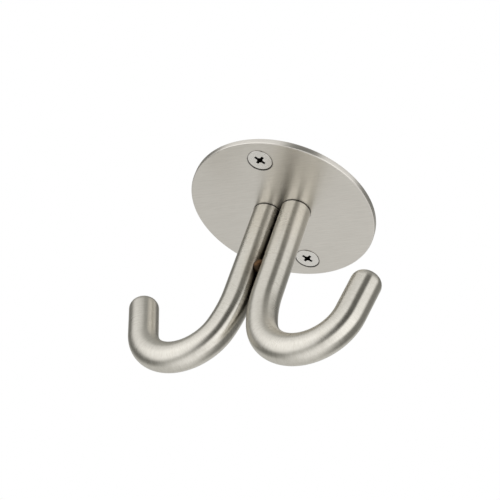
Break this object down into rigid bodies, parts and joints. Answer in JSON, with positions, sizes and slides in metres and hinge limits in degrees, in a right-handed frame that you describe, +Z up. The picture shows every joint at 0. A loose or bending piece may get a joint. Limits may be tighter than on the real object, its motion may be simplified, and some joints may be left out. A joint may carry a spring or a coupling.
{
  "type": "double ceiling hook",
  "caption": "Double ceiling hook: a round brushed steel plate screwed to the ceiling, with bent round-bar hooks side by side that curl apart to hold hangers, straps or cords.",
  "frame": {"origin": "centre of the plate's ceiling face, the face that lies against the ceiling", "axes": "+Z up into the ceiling, X through both bars in the plane of the hooks and towards the right hook, Y across that plane"},
  "size_m": [0.0904, 0.0634, 0.0744],
  "materials": {
    "plate_steel": "fine straight brushed stainless steel",
    "bar_steel": "satin stainless steel, brushed along the bar",
    "weld_metal": "heat-tinted weld bead, straw to brown",
    "screw_steel": "bright plated steel"
  },
  "bodies": {
    "root": {"ceiling_plate": "plate_steel", "left_hook": "bar_steel", "right_hook": "bar_steel", "tack_weld": "weld_metal", "mounting_screws": "screw_steel"}
  },
  "joints": []
}
